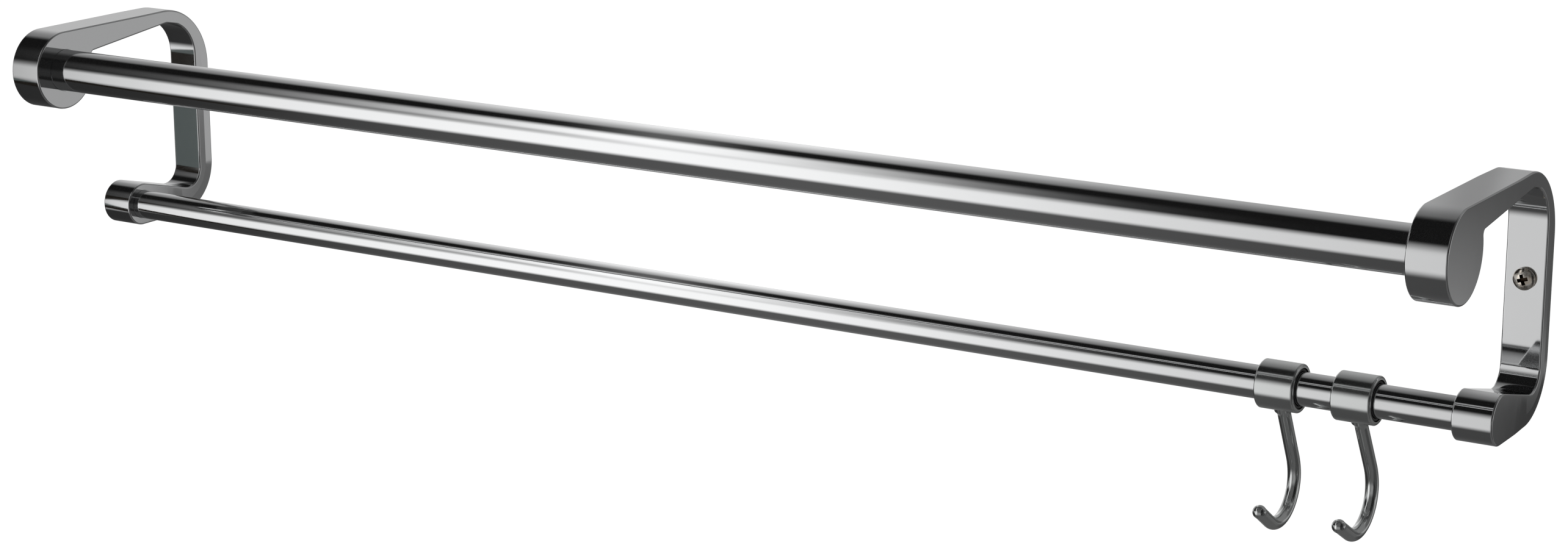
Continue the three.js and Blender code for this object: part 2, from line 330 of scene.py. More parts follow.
def tidy(made, merge=1e-7):
    """Merges doubles and points every face outwards."""
    bm = bmesh.new()
    bm.from_mesh(made.data)
    bmesh.ops.remove_doubles(bm, verts=bm.verts, dist=merge)
    bmesh.ops.recalc_face_normals(bm, faces=bm.faces)
    bm.to_mesh(made.data)
    bm.free()
    return made


def plain_mesh(made):
    """The object's mesh with its modifiers worked in."""
    bpy.context.view_layer.update()
    depsgraph = bpy.context.evaluated_depsgraph_get()
    return bpy.data.meshes.new_from_object(made.evaluated_get(depsgraph))


def settled(made):
    """The object with its modifiers worked into its mesh."""
    done = plain_mesh(made)
    made.modifiers.clear()
    made.data = done
    return made


def cut(made, *tools, operation="DIFFERENCE"):
    """Cuts the tools out of an object, or joins them to it, and removes them."""
    for tool in tools:
        modifier = made.modifiers.new("cut", "BOOLEAN")
        modifier.operation = operation
        modifier.solver = "EXACT"
        modifier.object = tool
    settled(made)
    for tool in tools:
        bpy.data.objects.remove(tool)


def smooth(made, creases=None):
    """Smooth shading that large faces lead, with hard edges at creases and where faces turn sharply."""
    bm = bmesh.new()
    bm.from_mesh(made.data)
    for face in bm.faces:
        face.smooth = True
    for edge in bm.edges:
        turned = len(edge.link_faces) == 2 and edge.calc_face_angle() > SHARP_EDGE
        edge.smooth = not (turned or (creases and creases(edge)))
    bm.to_mesh(made.data)
    bm.free()
    weighted = made.modifiers.new("weighted", "WEIGHTED_NORMAL")
    weighted.keep_sharp = True
    return settled(made)


def lathe(name, section, facets, axis="X", place=(0, 0, 0)):
    """A body of revolution from a section in (radius, along). A radius of zero is a pole."""
    verts, rings = [], []
    for radius, along in section:
        ring = []
        for k in range(1 if radius == 0 else facets):
            angle = FULL_TURN * k / facets
            a, b = radius * math.cos(angle), radius * math.sin(angle)
            ring.append(len(verts))
            verts.append({"X": (along, a, b), "Y": (a, along, b), "Z": (a, b, along)}[axis])
        rings.append(ring)
    if all(radius for radius, _ in section):
        rings.append(rings[0])  # without poles the section is closed
    placed = [tuple(c + p for c, p in zip(v, place)) for v in verts]
    return tidy(mesh_object(name, placed, bands(rings)))


def move_mesh(made, place, swing=0.0):
    """Turns a piece about its own X axis and then places it, in millimetres."""
    made.data.transform(Matrix.Translation(Vector(place) * MM) @ Matrix.Rotation(swing, 4, "X"))
    return made


def joined(name, *parts):
    """One object from several, each smoothed first."""
    bm = bmesh.new()
    for part in parts:
        bm.from_mesh(smooth(part).data)
        bpy.data.objects.remove(part)
    mesh = bpy.data.meshes.new(name)
    bm.to_mesh(mesh)
    bm.free()
    return linked(name, mesh)


# Shapes that Geometry Nodes make


def shape_tree(name, kinds):
    """A tree with named inputs: the sheet to draw it on, and the wires of its inputs."""
    tree = bpy.data.node_groups.new(name, "GeometryNodeTree")
    for label, kind in kinds.items():
        tree.interface.new_socket(label, in_out="INPUT", socket_type=f"NodeSocket{kind}")
    tree.interface.new_socket("Shape", in_out="OUTPUT", socket_type="NodeSocketGeometry")
    sheet = Sheet(tree)
    return sheet, sheet.outputs("NodeGroupInput")


def end_tree(sheet, shape, material):
    """Ends a tree in real geometry with its material."""
    whole = sheet.add("GeometryNodeRealizeInstances", None, {0: shape})
    done = sheet.add("GeometryNodeSetMaterial", None, {"Geometry": whole, "Material": material})
    sheet.add("NodeGroupOutput", None, {0: done})
    return sheet.tree


def grown(name, data, tree, inputs):
    """A plain mesh that a tree makes from an object's data."""
    source = linked(name, data)
    modifier = source.modifiers.new("tree", "NODES")
    modifier.node_group = tree
    for item in tree.interface.items_tree:
        if item.in_out == "INPUT" and item.name in inputs:
            modifier[item.identifier] = inputs[item.name]
    mesh = plain_mesh(source)
    bpy.data.objects.remove(source)
    return tidy(linked(name, mesh))


def path_curve(name, points):
    """A curve through points in millimetres."""
    curve = bpy.data.curves.new(name, "CURVE")
    curve.dimensions = "3D"
    spline = curve.splines.new("POLY")
    spline.points.add(len(points) - 1)
    for place, point in zip(spline.points, points):
        place.co = (*(c * MM for c in point), 1)
    return curve


def rod_tree():
    """A round rod along a path, with a flared foot and a round tip."""
    sheet, given = shape_tree(
        "bent_rod",
        {
            "Path": "Geometry",
            "Rod Radius": "Float",
            "Foot Flare": "Float",
            "Foot Start": "Float",
            "Foot Height": "Float",
            "Tip Radius": "Float",
            "Sides": "Int",
            "Material": "Material",
        },
    )
    length = sheet.add("GeometryNodeSplineParameter", output="Length")
    above = ((length - given["Foot Start"]) / given["Foot Height"]).math("MAXIMUM", 0.0)
    fade = (1 - above).math("MAXIMUM", 0.0)
    radius = given["Rod Radius"] + given["Foot Flare"] * fade * fade
    ring = sheet.add(
        "GeometryNodeCurvePrimitiveCircle", None, {"Resolution": given["Sides"], "Radius": 1.0}
    )
    swept = sheet.add(
        "GeometryNodeCurveToMesh",
        None,
        {"Curve": given["Path"], "Profile Curve": ring, "Scale": radius, "Fill Caps": True},
    )
    ball = sheet.add(
        "GeometryNodeMeshUVSphere",
        None,
        {"Segments": given["Sides"], "Rings": TIP_RINGS, "Radius": given["Tip Radius"]},
    )
    end = sheet.add("GeometryNodeCurveEndpointSelection", None, {"Start Size": 0, "End Size": 1})
    tips = sheet.add(
        "GeometryNodeInstanceOnPoints",
        None,
        {"Points": given["Path"], "Selection": end, "Instance": ball},
    )
    both = sheet.add("GeometryNodeJoinGeometry", None, {0: [swept, tips]})
    return end_tree(sheet, both, given["Material"])


def thread_tree():
    """A screw thread, as a sharp profile wound along Z."""
    sheet, given = shape_tree(
        "screw_thread",
        {
            "Core Radius": "Float",
            "Depth": "Float",
            "Turns": "Float",
            "Length": "Float",
            "Material": "Material",
        },
    )
    wound = sheet.add(
        "GeometryNodeCurveSpiral",
        None,
        {
            "Resolution": THREAD_STEPS,
            "Rotations": given["Turns"],
            "Start Radius": given["Core Radius"],
            "End Radius": given["Core Radius"],
            "Height": given["Length"],
        },
    )
    profile = sheet.add(
        "GeometryNodeCurvePrimitiveCircle",
        None,
        {"Resolution": THREAD_CORNERS, "Radius": given["Depth"]},
    )
    swept = sheet.add(
        "GeometryNodeCurveToMesh", None, {"Curve": wound, "Profile Curve": profile, "Fill Caps": True}
    )
    return end_tree(sheet, swept, given["Material"])


# Finishes


def finish_sheet(name):
    material = bpy.data.materials.new(name)
    material.use_nodes = True
    return material, Sheet(material.node_tree)


def noise(sheet, scale, stretch=(1.0, 1.0, 1.0), detail=2.0, roughness=0.5):
    """Noise in object coordinates; scale counts features to the metre."""
    place = sheet.add("ShaderNodeTexCoord", output="Object")
    mapped = sheet.add("ShaderNodeMapping", None, {"Vector": place, "Scale": stretch})
    return sheet.add(
        "ShaderNodeTexNoise",
        None,
        {"Vector": mapped, "Scale": scale, "Detail": detail, "Roughness": roughness},
    )


def relief(sheet, height, distance, strength, under=None):
    """A bump of a height in metres, laid over another one where that is given."""
    sockets = {"Strength": strength, "Distance": distance, "Height": height}
    if under is not None:
        sockets["Normal"] = under
    return sheet.add("ShaderNodeBump", None, sockets)


def surface(sheet, colour, roughness, normal, metallic):
    """Ends a material in its shader."""
    sockets = {"Base Color": colour, "Roughness": roughness, "Normal": normal, "Metallic": metallic}
    shader = sheet.add("ShaderNodeBsdfPrincipled", None, sockets)
    sheet.add("ShaderNodeOutputMaterial", None, {"Surface": shader})


def chrome(name, tint, wave, grain=(1.0, 1.0, 1.0), roughness=0.045):
    """Plated mirror chrome: faint polishing waves, a hint of haze and a slightly uneven tone."""
    material, sheet = finish_sheet(name)
    waves = noise(sheet, 95, grain, detail=1.0)
    haze = noise(sheet, 38, detail=4.0, roughness=0.6)
    pores = noise(sheet, 900)
    tone = haze.blend(rgba(*(c * 0.97 for c in tint)), rgba(*tint))
    polish = relief(sheet, waves, wave, 1.0)
    pitted = relief(sheet, pores, wave / 20, 0.5, polish)
    surface(sheet, tone, roughness + haze * 0.03, pitted, 1.0)
    return material


def bright_steel(name):
    """Zinc-plated screw steel: warm, turned, with worn high spots, and painted shade that makes the cross
    recess dark and dull.
    """
    material, sheet = finish_sheet(name)
    turning = noise(sheet, 2600, (1.0, 0.15, 1.0), detail=3.0)
    stain = noise(sheet, 620, detail=4.0, roughness=0.65)

    # The recess is what lies under the dome of a wall screw's head; painted shade colours it near black and
    # makes it rougher.
    x, y, z = sheet.split(sheet.add("ShaderNodeTexCoord", output="Object"))
    x = (x.math("ABSOLUTE") - BRACKET_OFFSET * MM) * (1 / (WALL_SCREW_HEAD * MM))
    y += (PLATE_THICKNESS + FIT_GAP + WALL_SCREW_RIM) * MM
    y *= 1 / ((WALL_SCREW_HEAD_HEIGHT - WALL_SCREW_RIM) * MM)
    z = (z + WALL_SCREW_DROP * MM) * (1 / (WALL_SCREW_HEAD * MM))
    under_dome = 1 - (x * x + y * y + z * z)
    painted_recess_shade = under_dome.rise(at=0.13, soft=0.08)

    tone = stain.rise(at=0.5, soft=0.18).blend(rgba(0.7, 0.61, 0.5), rgba(1.0, 0.96, 0.9))
    # Painted shade: the cross recess is coloured near black.
    tone = painted_recess_shade.blend(tone, rgba(0.045, 0.03, 0.02))
    surface(sheet, tone, 0.08 + stain * 0.14 + painted_recess_shade * 0.3, relief(sheet, turning, 2e-5, 0.6), 1.0)
    return material


def black_nylon(name):
    """Moulded black nylon with a fine matt grain."""
    material, sheet = finish_sheet(name)
    grain = noise(sheet, 2400, detail=3.0)
    cloud = noise(sheet, 160, detail=3.0)
    tone = cloud.blend(grey(0.012), grey(0.024))
    surface(sheet, tone, 0.45 + cloud * 0.2, relief(sheet, grain, 3e-5, 0.5), 0.0)
    return material


CASTING = chrome("chrome_casting", (0.83, 0.835, 0.84), wave=5e-6)
TUBE = chrome("chrome_tube", (0.85, 0.855, 0.86), wave=3e-6, grain=(0.12, 1.0, 1.0))
HOOK = chrome("chrome_hook", (0.8, 0.815, 0.81), wave=5e-6, roughness=0.13)
STEEL = bright_steel("bright_steel")
NYLON = black_nylon("black_nylon")


def dress(made, material, body, slot, *nodes):
    """Gives a finished piece its material, its body and the nodes that it stands for."""
    made.data.materials.clear()
    made.data.materials.append(material)
    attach(made, body)
    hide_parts(*nodes)


# Brackets


def wall_bends(inset=0.0):
    """The two bends on the wall side, the lower one first, each with its radius less an inset."""
    lower_centre = (-LOWER_BEND_RADIUS, BRACKET_BOTTOM + LOWER_BEND_RADIUS)
    outer_centre = (-OUTER_BEND_RADIUS, BRACKET_TOP - OUTER_BEND_RADIUS)
    return [
        arc(lower_centre, LOWER_BEND_RADIUS - inset, -QUARTER, 0),
        arc(outer_centre, OUTER_BEND_RADIUS - inset, 0, QUARTER),
    ]


def bracket_outline():
    """Side view of a bracket, anticlockwise in (y, z), with its outward normals."""
    upper, lower = Vector(UPPER_AXIS), Vector(LOWER_AXIS)

    # The arm gets thinner on its way from the big boss to the top bend.
    root = upper.x + UPPER_BOSS_RADIUS
    bend = -PLATE_THICKNESS - INNER_BEND_RADIUS
    slope = (ARM_ROOT_DEPTH - ARM_TIP_DEPTH) / (bend - root)
    stretch = math.hypot(1, slope)
    underside_at_wall = BRACKET_TOP - ARM_ROOT_DEPTH - slope * root
    underside_up = math.atan2(1, -slope)
    inner_bend = (bend, underside_at_wall + slope * bend - INNER_BEND_RADIUS * stretch)

    # A small fillet touches the big boss and the arm's underside.
    offset = underside_at_wall - ARM_ROOT_FILLET * stretch
    a = 1 + slope * slope
    b = 2 * (slope * offset - upper.x)
    c = upper.x ** 2 + offset ** 2 - (UPPER_BOSS_RADIUS + ARM_ROOT_FILLET) ** 2
    fillet_y = (-b + math.sqrt(b * b - 4 * a * c)) / (2 * a)
    fillet = (fillet_y, offset + slope * fillet_y)
    to_fillet = math.atan2(fillet[1] - upper.y, fillet[0] - upper.x)

    # The lower web rises from the bottom fillet and touches the small boss.
    web_end = Vector((-PLATE_THICKNESS - LOWER_FILLET_RADIUS, BRACKET_BOTTOM + LOWER_WEB_DEPTH))
    to_web = web_end - lower
    web_up = math.atan2(to_web.y, to_web.x) + math.acos(LOWER_BOSS_RADIUS / to_web.length)
    lower_fillet = (web_end.x, web_end.y + LOWER_FILLET_RADIUS / math.sin(web_up))

    arcs = [
        arc(upper, UPPER_BOSS_RADIUS, QUARTER, FULL_TURN + to_fillet),
        arc(fillet, ARM_ROOT_FILLET, math.pi + to_fillet, underside_up, -1),
        arc(inner_bend, INNER_BEND_RADIUS, underside_up, 0, -1),
        arc(lower_fillet, LOWER_FILLET_RADIUS, 0, web_up - math.pi, -1),
        arc(lower, LOWER_BOSS_RADIUS, web_up, 3 * QUARTER),
        *wall_bends(),
    ]
    points = [point for arc_points in arcs for point in arc_points]
    outline = []
    for (before, _), (place, normal) in zip(points[-1:] + points, points):
        length = (place - before).length
        if length > SAME_POINT:
            steps = math.ceil(length / STRAIGHT_STEP)
            outline += [(before.lerp(place, k / steps), normal) for k in range(1, steps + 1)]
    return outline


def draft_rim():
    """Rim of the drafted band: round the wall side, then clear of the bosses at both ends."""
    lower_end = Vector((-DRAFT_LOWER_END, BRACKET_BOTTOM - DRAFT_RUNOUT))
    upper_end = Vector((-DRAFT_UPPER_END, BRACKET_TOP + DRAFT_RUNOUT))
    bends = [point for bend in wall_bends() for point, _ in bend]
    return np.array([tuple(point) for point in (lower_end, *bends, upper_end)])


RIM = draft_rim()


def rim_distance(points):
    """Distance of each (y, z) from the rim of the drafted band."""
    points = np.asarray(points)[:, None, :]
    start, run = RIM[:-1], np.diff(RIM, axis=0)
    share = ((points - start) * run).sum(2) / (run * run).sum(1)
    nearest = start + np.clip(share, 0, 1)[..., None] * run
    return np.sqrt(((points - nearest) ** 2).sum(2)).min(1)


def draft(points):
    """How far the side faces draw in at each (y, z)."""
    return DRAFT_DEPTH * np.clip(1 - rim_distance(points) / DRAFT_BAND, 0, 1)


def crease_line(edge_loop):
    """Inner border of the drafted band, from one border point of the side face to another."""
    line = [tuple(point) for bend in wall_bends(DRAFT_BAND) for point, _ in bend]
    loop = np.asarray(edge_loop)
    beside = np.abs(rim_distance(loop) - DRAFT_BAND)
    over_arm = np.where((loop[:, 1] > 0) & (loop[:, 0] > UPPER_AXIS[0]), beside, np.inf)
    under_web = np.where(loop[:, 1] < BRACKET_BOTTOM + DRAFT_BAND, beside, np.inf)
    return [tuple(loop[under_web.argmin()]), *line, tuple(loop[over_arm.argmin()])]


def on_crease(edge):
    """Whether an edge of a placed bracket lies on the crease of the drafted band."""
    ends = [v.co / MM for v in edge.verts]
    if any(abs(abs(abs(e.x) - BRACKET_OFFSET) - BRACKET_WIDTH / 2) > SAME_PLANE for e in ends):
        return False
    beside = np.abs(rim_distance([(e.y, e.z) for e in ends]) - DRAFT_BAND)
    return bool((beside < ON_CREASE).all())


def rounded_wall(outline):
    """The wall all round a bracket: one ring of points for each row across the width."""
    half = BRACKET_WIDTH / 2
    sweep = [QUARTER * k / EDGE_STEPS for k in range(EDGE_STEPS + 1)]
    rows = [(EDGE_ROUND * (1 - math.cos(a)), half - EDGE_ROUND * (1 - math.sin(a))) for a in sweep]
    rows.append((EDGE_ROUND + FLAT_MARGIN, half))
    verts, rings = [], []
    for inset, x in rows[::-1] + [(inset, -x) for inset, x in rows]:
        ring = [tuple(point - normal * inset) for point, normal in outline]
        rings.append(range(len(verts), len(verts) + len(ring)))
        verts += [(math.copysign(abs(x) - by, x), y, z) for (y, z), by in zip(ring, draft(ring))]
    return verts, bands(rings)


def side_face(facing, edge_loop, mouths):
    """A side face of a bracket, with the band's crease and the bores' mouths left open."""
    line = crease_line(edge_loop)
    count = len(edge_loop)
    points = [*edge_loop, *line[1:-1]]
    chain = [edge_loop.index(line[0]), *range(count, len(points)), edge_loop.index(line[-1])]
    edges = [(i, (i + 1) % count) for i in range(count)] + list(zip(chain, chain[1:]))
    for centre, radius in mouths:
        start = len(points)
        ring = circle(centre, radius)
        points += ring
        edges += [(start + k, start + (k + 1) % len(ring)) for k in range(len(ring))]
    border = [list(range(count))]
    inside_only, tolerance = 1, 1e-6
    made = delaunay_2d_cdt([Vector(p) for p in points], edges, border, inside_only, tolerance)
    flat, triangles = made[0], made[2]

    drawn = draft([tuple(p) for p in flat])
    verts = [(facing * (BRACKET_WIDTH / 2 - by), p.x, p.y) for p, by in zip(flat, drawn)]
    chord_share = math.cos(ARC_STEP / 2)  # how near the middle of a mouth its chords come
    faces = []
    for triangle in triangles:
        middle = sum((flat[i] for i in triangle), Vector((0, 0))) / 3
        if all((middle - Vector(centre)).length > radius * chord_share for centre, radius in mouths):
            faces.append(tuple(triangle))
    return verts, faces


def blind_bore(centre, radius):
    """A bore in a bracket's inner side, from its chamfered mouth to its floor."""
    verts, rings = [], []
    for reach, depth in ((radius + SOCKET_CHAMFER, 0), (radius, SOCKET_CHAMFER), (radius, SOCKET_DEPTH)):
        ring = circle(centre, reach)
        drawn = draft(ring) if depth == 0 else np.zeros(len(ring))
        rings.append(range(len(verts), len(verts) + len(ring)))
        verts += [(-BRACKET_WIDTH / 2 + depth + by, y, z) for (y, z), by in zip(ring, drawn)]
    return verts, [*bands(rings), tuple(rings[-1])]


def drill(radius, start, end, axis, place):
    section = [(0, start), (radius, start), (radius, end), (0, end)]
    return lathe("drill", section, SCREW_FACETS, axis, place)


def screw_drills(sign):
    """Tools for the set screws' holes, from below into the bores, and for the wall screw's hole."""
    middle = sign * BRACKET_OFFSET
    under_bore = middle - sign * (BRACKET_WIDTH / 2 - SOCKET_DEPTH / 2)
    set_hole, wall_hole = SET_SCREW_RADIUS + FIT_GAP, WALL_SCREW_SHANK + FIT_GAP
    in_front = -PLATE_THICKNESS - OVERRUN
    return [
        drill(set_hole, -UPPER_BOSS_RADIUS - OVERRUN, 0, "Z", (under_bore, *UPPER_AXIS)),
        drill(set_hole, -LOWER_BOSS_RADIUS - OVERRUN, 0, "Z", (under_bore, *LOWER_AXIS)),
        drill(wall_hole, in_front, OVERRUN, "Y", (middle, 0, -WALL_SCREW_DROP)),
    ]


def bracket(side, sign):
    """One bracket: rounded rim, drafted side faces, blind bores for the bars and screw holes."""
    outline = bracket_outline()
    edge_loop = [tuple(point - normal * (EDGE_ROUND + FLAT_MARGIN)) for point, normal in outline]
    bores = [(UPPER_AXIS, UPPER_BAR_RADIUS + SOCKET_GAP), (LOWER_AXIS, LOWER_BAR_RADIUS + SOCKET_GAP)]
    mouths = [(centre, radius + SOCKET_CHAMFER) for centre, radius in bores]
    verts, faces = [], []
    for part_verts, part_faces in (
        rounded_wall(outline),
        side_face(1, edge_loop, []),
        side_face(-1, edge_loop, mouths),
        *(blind_bore(centre, radius) for centre, radius in bores),
    ):
        start = len(verts)
        verts += part_verts
        faces += [tuple(start + i for i in face) for face in part_faces]
    placed = [(sign * (x + BRACKET_OFFSET), y, z) for x, y, z in verts]
    made = tidy(mesh_object(f"{side}_bracket_shell", placed, faces), merge=CLOSE_SEAM)
    cut(made, *screw_drills(sign))
    smooth(made, on_crease)
    dress(made, CASTING, "rail", "casting", f"{side}_bracket")


# Bars and liners


def sleeve(inner, outer, half_length, chamfer):
    """Section of a sleeve with chamfered outer rims, in (radius, along)."""
    return [
        (inner, -half_length),
        (outer - chamfer, -half_length),
        (outer, -half_length + chamfer),
        (outer, half_length - chamfer),
        (outer - chamfer, half_length),
        (inner, half_length),
    ]


def bar(name, radius, axis, node):
    section = sleeve(radius - BAR_WALL, radius, BAR_HALF_LENGTH, BAR_CHAMFER)
    made = lathe(name, section, BAR_FACETS, "X", (0, *axis))
    dress(smooth(made), TUBE, "rail", "tube", node)


def liner(letter, place):
    """Plastic sleeve between a hook's ring and the thin bar."""
    inner = LOWER_BAR_RADIUS + RUNNING_GAP
    section = sleeve(inner, inner + LINER_WALL, HOOK_RING_HALF - LINER_INSET, LINER_CHAMFER)
    made = lathe(f"hook_liner_{letter}_sleeve", section, RING_FACETS)
    smooth(move_mesh(made, place))
    dress(made, NYLON, f"slider_{letter}", "liner", f"hook_liner_{letter}")


# Hooks


def hook_path():
    """The rod's middle line in the hook's own plane, from inside the ring to the tip."""
    heading = -QUARTER + HOOK_STEM_LEAN
    along = Vector((math.cos(heading), math.sin(heading)))
    start = Vector((-HOOK_STEM_OFFSET, 0))
    stem_start = start + along * HOOK_STEM_START
    point = start + along * HOOK_STEM_LENGTH
    points = [stem_start.lerp(point, k / STEM_STEPS) for k in range(STEM_STEPS + 1)]
    for radius, turn in HOOK_BENDS:
        steps = math.ceil(turn / ARC_STEP)
        centre = point + Vector((math.sin(heading), -math.cos(heading))) * radius
        for k in range(1, steps + 1):
            now = heading - turn * k / steps
            points.append(centre + Vector((-math.sin(now), math.cos(now))) * radius)
        heading -= turn
        point = points[-1]
    end = Vector((math.cos(heading), math.sin(heading))) * HOOK_END_LENGTH
    return points + [point + end * k / HOOK_END_STEPS for k in range(1, HOOK_END_STEPS + 1)]


def foot_start():
    """How far along the rod's middle line it leaves the ring's surface."""
    aside = HOOK_STEM_OFFSET * math.cos(HOOK_STEM_LEAN)
    nearest = HOOK_STEM_OFFSET * math.sin(HOOK_STEM_LEAN)
    return nearest + math.sqrt(HOOK_RING_RADIUS ** 2 - aside ** 2) - HOOK_STEM_START


def hook_ring(name):
    """The ring of a hook, with rounded rims."""
    half, corner = HOOK_RING_HALF, HOOK_RING_RADIUS - HOOK_RING_ROUND
    section = [(HOOK_BORE, -half)]
    for middle, start in ((-half + HOOK_RING_ROUND, -QUARTER), (half - HOOK_RING_ROUND, 0)):
        for k in range(EDGE_STEPS + 1):
            angle = start + QUARTER * k / EDGE_STEPS
            along = middle + HOOK_RING_ROUND * math.sin(angle)
            section.append((corner + HOOK_RING_ROUND * math.cos(angle), along))
    section.append((HOOK_BORE, half))
    return lathe(name, section, RING_FACETS)


def hook(letter, place, tree):
    """A hook: the ring and the bent rod under it, in one."""
    node = f"hook_{letter}"
    ring = hook_ring(f"{node}_shell")
    inputs = {
        "Rod Radius": HOOK_ROD_RADIUS * MM,
        "Foot Flare": HOOK_FOOT_FLARE * MM,
        "Foot Start": foot_start() * MM,
        "Foot Height": HOOK_FOOT_HEIGHT * MM,
        "Tip Radius": HOOK_TIP_RADIUS * MM,
        "Sides": ROD_FACETS,
        "Material": HOOK,
    }
    path = path_curve("path", [(0, *p) for p in hook_path()])
    cut(ring, grown(f"{node}_rod", path, tree, inputs), operation="UNION")
    reach = HOOK_BORE_REACH
    bore = [(0, -reach), (HOOK_BORE, -reach), (HOOK_BORE, reach), (0, reach)]
    cut(ring, lathe("bore", bore, RING_FACETS))
    smooth(move_mesh(ring, place, HOOK_SWING[letter]))
    dress(ring, HOOK, f"swinging_hook_{letter}", "hook", node)


# Screws


def thread(tree, core, depth, pitch, length):
    inputs = {
        "Core Radius": core * MM,
        "Depth": depth * MM,
        "Turns": length / pitch,
        "Length": length * MM,
        "Material": STEEL,
    }
    return grown("wound", bpy.data.meshes.new("wound"), tree, inputs)


def recess_blades():
    """Two crossed blades with tapered sides, to cut the recess into the head of a wall screw."""
    length, width = CROSS_LENGTH / 2, CROSS_WIDTH / 2
    levels = (
        (-WALL_SCREW_HEAD_HEIGHT - OVERRUN, length, width),
        (
            -WALL_SCREW_HEAD_HEIGHT + CROSS_DEPTH,
            length * CROSS_FLOOR_LENGTH_SHARE,
            width * CROSS_FLOOR_WIDTH_SHARE,
        ),
    )
    sides = [(i, i + 4, (i + 1) % 4 + 4, (i + 1) % 4) for i in range(4)]
    blades = []
    for turn in (CROSS_TURN, CROSS_TURN + QUARTER):
        c, s = math.cos(turn), math.sin(turn)
        corners = []
        for y, reach, side_reach in levels:
            for a, b in ((1, 1), (-1, 1), (-1, -1), (1, -1)):
                x, z = a * reach, b * side_reach
                corners.append((x * c - z * s, y, x * s + z * c))
        blades.append(tidy(mesh_object("blade", corners, [(0, 1, 2, 3), (7, 6, 5, 4), *sides])))
    return blades


def wall_screw(side, sign, tree):
    """Pan head screw: domed head with a tapered cross recess, threaded shank and a point."""
    dome = WALL_SCREW_HEAD_HEIGHT - WALL_SCREW_RIM
    section = [(0, -WALL_SCREW_HEAD_HEIGHT)]
    for k in range(1, DOME_STEPS + 1):
        angle = QUARTER * k / DOME_STEPS
        section.append((WALL_SCREW_HEAD * math.sin(angle), -WALL_SCREW_RIM - dome * math.cos(angle)))
    core = WALL_SCREW_SHANK - WALL_THREAD_DEPTH
    tip = WALL_SCREW_LENGTH - WALL_SCREW_TIP
    section += [
        (WALL_SCREW_HEAD, -WALL_SCREW_CHAMFER),
        (WALL_SCREW_HEAD - WALL_SCREW_CHAMFER, 0),
        (WALL_SCREW_SHANK, 0),
        (WALL_SCREW_SHANK, PLATE_THICKNESS),
        (core, PLATE_THICKNESS + WALL_THREAD_DEPTH),
        (core, tip),
        (0, WALL_SCREW_LENGTH),
    ]
    body = lathe(f"wall_screw_{side}_turned", section, SCREW_FACETS, "Y")
    cut(body, *recess_blades())
    run = tip - PLATE_THICKNESS - WALL_THREAD_PITCH
    wound = thread(tree, core, WALL_THREAD_DEPTH, WALL_THREAD_PITCH, run)
    move_mesh(wound, (0, PLATE_THICKNESS + WALL_THREAD_PITCH / 2, 0), -QUARTER)
    made = joined(f"wall_screw_{side}_steel", body, wound)
    move_mesh(made, (sign * BRACKET_OFFSET, -PLATE_THICKNESS - FIT_GAP, -WALL_SCREW_DROP))
    dress(made, STEEL, "rail", "screw", f"wall_screw_{side}")


def set_screw(level, side, sign, axis, boss, bar_radius, tree):
    """Grub screw, upright in the boss, with a hexagon socket at its lower end."""
    length = boss - bar_radius - SET_SCREW_SINK - FIT_GAP
    core = SET_SCREW_RADIUS - SET_THREAD_DEPTH
    end_radius = core - SET_SCREW_CHAMFER / 2
    section = [
        (0, 0),
        (end_radius, 0),
        (core, SET_SCREW_CHAMFER),
        (core, length - SET_SCREW_CHAMFER),
        (end_radius, length),
        (0, length),
    ]
    body = lathe(f"set_screw_{level}_{side}_turned", section, SCREW_FACETS, "Z")
    key_radius = SET_SCREW_FLATS / math.sqrt(3)
    key = [(0, -OVERRUN), (key_radius, -OVERRUN), (key_radius, SET_SCREW_SOCKET), (0, SET_SCREW_SOCKET)]
    cut(body, lathe("key", key, KEY_SIDES, "Z"))
    run = length - 2 * SET_THREAD_DEPTH
    wound = thread(tree, core, SET_THREAD_DEPTH, SET_THREAD_PITCH, run)
    move_mesh(wound, (0, 0, SET_THREAD_DEPTH))
    made = joined(f"set_screw_{level}_{side}_steel", body, wound)
    place = sign * (BRACKET_OFFSET - BRACKET_WIDTH / 2 + SOCKET_DEPTH / 2)
    move_mesh(made, (place, axis[0], axis[1] - boss + SET_SCREW_SINK))
    dress(made, STEEL, "rail", "screw", f"set_screw_{level}_{side}")


# Studio. What the chrome sees is drawn over the direction of a ray: left and right are its parts along
# the bars, and height is its angle round them, in degrees: 0 to the front, 90 up and 180 to the back.


def back_wall(left, height, above_eaves):
    """The wall behind, lit over the middle, with a thin dark line in it; it fades towards the ceiling."""
    lit_middle = left.hump(at=0.535, width=0.05)
    lit_end = left.rise(at=0.58, soft=0.06)
    dark_line = left.rise(at=0.3265, soft=0.004) * 0.2
    past_line = left.rise(at=0.342, soft=0.008) * 0.22
    open_side = left.rise(at=0.43, soft=0.04) * 0.3
    closed_side = left.rise(at=0.655, soft=0.015) * 0.24
    low_corner = left.rise(at=0.635, soft=0.02) * (1 - height.rise(at=145, soft=20))
    wall = 0.52 + lit_middle * 0.42 + lit_end * 0.13
    wall *= 0.75 - dark_line + past_line
    wall *= 1 + open_side - closed_side
    wall *= 1 - low_corner * 0.3
    wall *= above_eaves * (0.33 + height.rise(at=124, soft=34) * 0.67)
    return wall


def ceiling(left, height, above_eaves):
    """A dark ceiling with a thin slit of light along the middle and a skylight to the front."""
    slit = left.hump(at=0.55, width=0.015) * height.rise(at=66, soft=8) * 0.13
    dark = (0.007 + slit) * (1 - above_eaves)
    beam = left.rise(at=0.565, soft=0.02) * (1 - height.rise(at=34, soft=8)) * 0.5
    opening = left.hump(at=0.555, width=0.067) * (1 - height.rise(at=63, soft=12))
    skylight = opening * (1 - beam) * 1.16
    return dark, skylight


